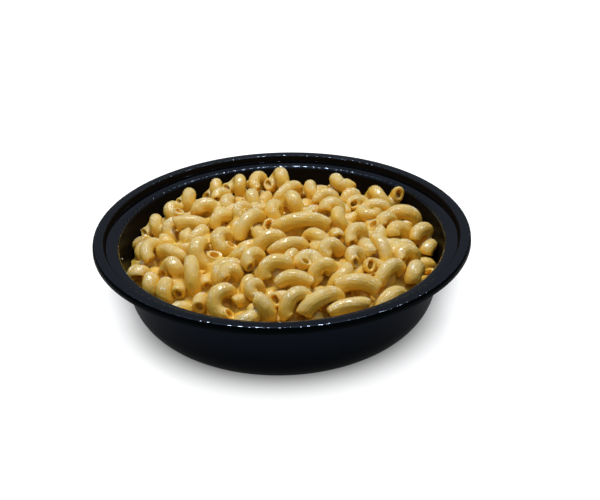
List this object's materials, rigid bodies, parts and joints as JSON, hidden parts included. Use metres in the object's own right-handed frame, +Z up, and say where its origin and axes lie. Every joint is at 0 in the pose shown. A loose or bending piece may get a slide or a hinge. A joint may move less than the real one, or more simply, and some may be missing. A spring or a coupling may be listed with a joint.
{
  "type": "bowl of macaroni and cheese",
  "caption": "Round black take-out bowl with a stepped lid rim, heaped to a low crown with curled tube pasta in smooth cheese sauce.",
  "frame": {"origin": "centre of the bowl's foot, on the surface it stands on", "axes": "+Z up through the middle of the bowl; the bowl is round, and the front of the view in use is -Y"},
  "size_m": [0.2314, 0.2314, 0.0623],
  "materials": {
    "black_plastic": "moulded black polypropylene, glossy inside and on the rim, satin outside",
    "cheese_pasta": "soft cooked pasta coated in wet, creamy yellow cheese sauce"
  },
  "bodies": {
    "root": {"bowl": "black_plastic", "pasta_heap": "cheese_pasta"}
  },
  "joints": []
}
